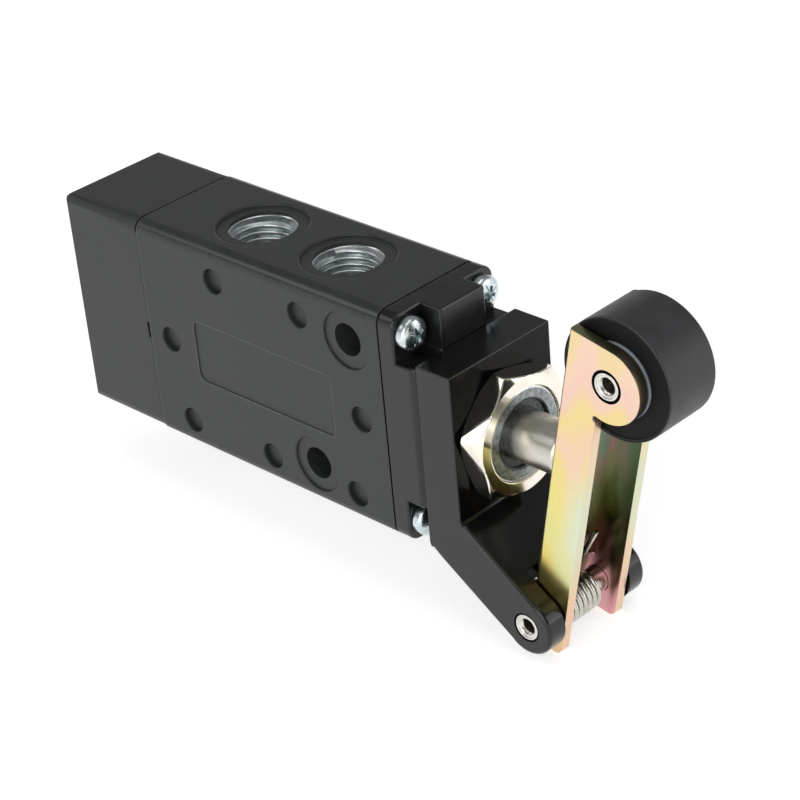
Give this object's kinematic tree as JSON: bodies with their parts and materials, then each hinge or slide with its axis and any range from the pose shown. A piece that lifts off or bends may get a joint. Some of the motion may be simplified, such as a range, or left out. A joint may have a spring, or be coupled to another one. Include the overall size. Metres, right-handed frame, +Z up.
{
  "type": "roller lever air valve",
  "caption": "Black spool valve for compressed air, with threaded ports above and below, cross fixing holes and a sprung roller lever that pushes its plunger.",
  "frame": {"origin": "centre of the lower fixing hole, at the middle of the body's width", "axes": "+X along the spool axis towards the lever, +Y along the fixing holes across the body, +Z up"},
  "size_m": [0.1437, 0.026, 0.07],
  "materials": {
    "body_plastic": "fine matt moulding",
    "cap_plastic": "fine matt moulding",
    "cover_plastic": "satin moulding",
    "bracket_black": "semi-gloss moulding",
    "screw_zinc": "bright zinc",
    "insert_zinc": "dull zinc",
    "bush_zinc": "dull zinc",
    "nut_nickel": "bright nickel",
    "steel": "ground",
    "spring_steel": "drawn wire",
    "spool_metal": "ground",
    "seal_rubber": "matt",
    "spacer_plastic": "natural",
    "cup_plastic": "natural",
    "lever_yellow_zinc": "iridescent yellow zinc",
    "hub_grey": "smooth",
    "tyre_black": "matt"
  },
  "bodies": {
    "valve_body": {"housing": "body_plastic", "rear_cap": "cap_plastic", "front_cover": "cover_plastic", "cover_screws": "screw_zinc", "cap_screws": "screw_zinc", "port_insert_1": "insert_zinc", "port_insert_2": "insert_zinc", "port_insert_3": "insert_zinc", "port_insert_4": "insert_zinc", "port_insert_5": "insert_zinc", "spool_seal_1": "seal_rubber", "spool_seal_2": "seal_rubber", "spool_seal_3": "seal_rubber", "spool_seal_4": "seal_rubber", "spool_seal_5": "seal_rubber", "spool_seal_6": "seal_rubber", "seal_spacer_1": "spacer_plastic", "seal_spacer_2": "spacer_plastic", "seal_spacer_3": "spacer_plastic", "seal_spacer_4": "spacer_plastic", "seal_spacer_5": "spacer_plastic", "guide_bush": "bush_zinc", "wiper_seal": "seal_rubber", "lock_nut": "nut_nickel", "bracket": "bracket_black", "pivot_pin": "steel", "torsion_spring": "spring_steel", "return_spring": "spring_steel"},
    "plunger": {"plunger": "steel", "spool": "spool_metal", "spring_cup": "cup_plastic"},
    "lever": {"lever": "lever_yellow_zinc", "roller_pin": "steel"},
    "roller": {"roller_hub": "hub_grey", "roller_tyre": "tyre_black"}
  },
  "joints": [
    {"name": "lever_pivot", "type": "hinge", "parent": "valve_body", "child": "lever", "pos_m": [0.05016, 0, -0.01525], "axis": [0, -1, 0], "range_deg": [0, 9], "stiffness_Nm_per_rad": 0.3, "springref_deg": -17.19, "deforming": ["torsion_spring"]},
    {"name": "plunger_slide", "type": "slide", "parent": "valve_body", "child": "plunger", "axis": [-1, 0, 0], "range_m": [0, 0.00463], "deforming": ["return_spring"]},
    {"name": "roller_spin", "type": "hinge", "parent": "lever", "child": "roller", "pos_m": [0.06696, 0, 0.03674], "axis": [0, 1, 0], "continuous": true}
  ],
  "couplings": [
    {"joint": "plunger_slide", "follows": "lever_pivot", "m_per_rad": 0.0294}
  ]
}
